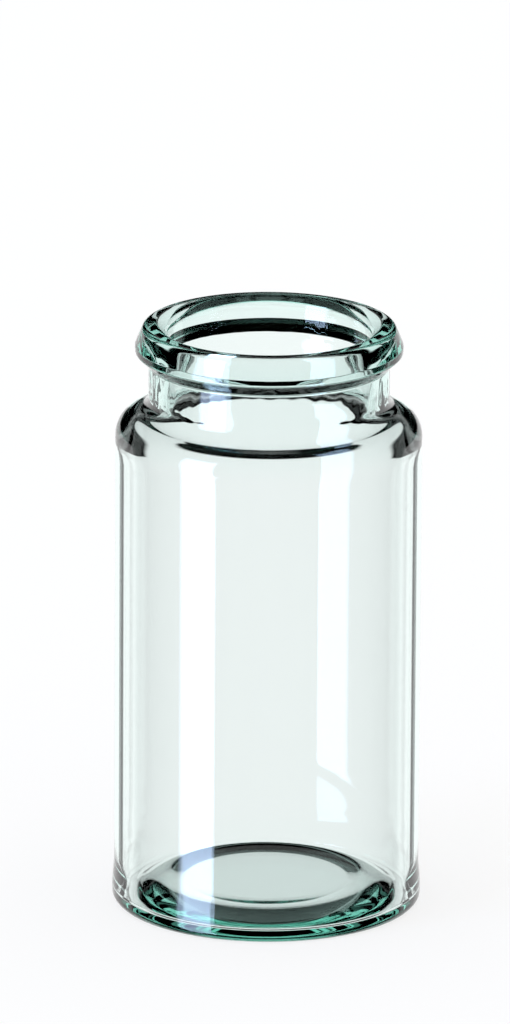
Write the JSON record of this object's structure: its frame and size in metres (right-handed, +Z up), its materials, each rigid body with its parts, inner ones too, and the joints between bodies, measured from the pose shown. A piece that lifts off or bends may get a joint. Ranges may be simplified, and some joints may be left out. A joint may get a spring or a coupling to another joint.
{
  "type": "glass sample vial",
  "caption": "Small open clear glass vial: straight cylindrical body, short rounded shoulder, narrower neck and a snap rim for a push-on cap, standing on a flat foot ring.",
  "frame": {"origin": "centre of the face that the vial stands on", "axes": "+Z up along the vial's axis, out of the mouth"},
  "size_m": [0.0208, 0.0208, 0.04],
  "materials": {
    "clear_glass": "clear, fire-polished, faint green tint"
  },
  "bodies": {
    "root": {"glass_vial": "clear_glass"}
  },
  "joints": []
}
